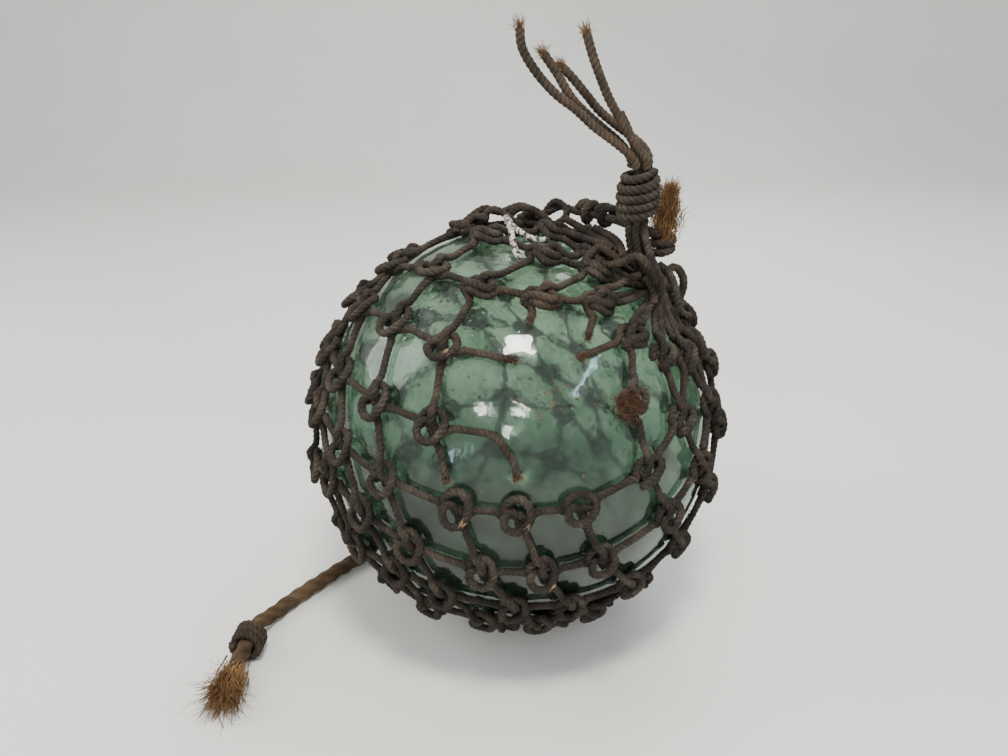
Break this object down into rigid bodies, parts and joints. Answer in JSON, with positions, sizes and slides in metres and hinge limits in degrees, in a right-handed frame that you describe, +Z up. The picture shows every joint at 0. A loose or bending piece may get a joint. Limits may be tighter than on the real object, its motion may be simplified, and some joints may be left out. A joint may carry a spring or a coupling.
{
  "type": "glass fishing float in a tied net",
  "caption": "Round blown-glass float in a torn hand-tied net of tarred cord, gathered into a whipped neck with loose tails, with a bound lanyard on the far side.",
  "frame": {"origin": "on the surface it stands on, under the middle of the ball and its net without the free cords", "axes": "+Z up, the pictured side with the torn place faces -Y, the neck leans towards +X"},
  "size_m": [0.3916, 0.3348, 0.4564],
  "materials": {
    "glass": "smooth blown glass with small seeds",
    "tarred_cord": "dull twisted tarred cord, worn reddish brown in places",
    "brown_rope": "dull three-strand rope",
    "frayed_fibre": "loose frayed fibres"
  },
  "bodies": {
    "root": {"glass_ball": "glass", "netting": "tarred_cord", "neck_whipping": "tarred_cord", "rope_stub": "frayed_fibre", "stub_lashing": "tarred_cord", "tail_long_front": "tarred_cord", "tail_upright": "tarred_cord", "tail_curled_back": "tarred_cord", "tail_short_back": "tarred_cord", "lanyard": "brown_rope", "lanyard_binding": "tarred_cord"}
  },
  "joints": []
}
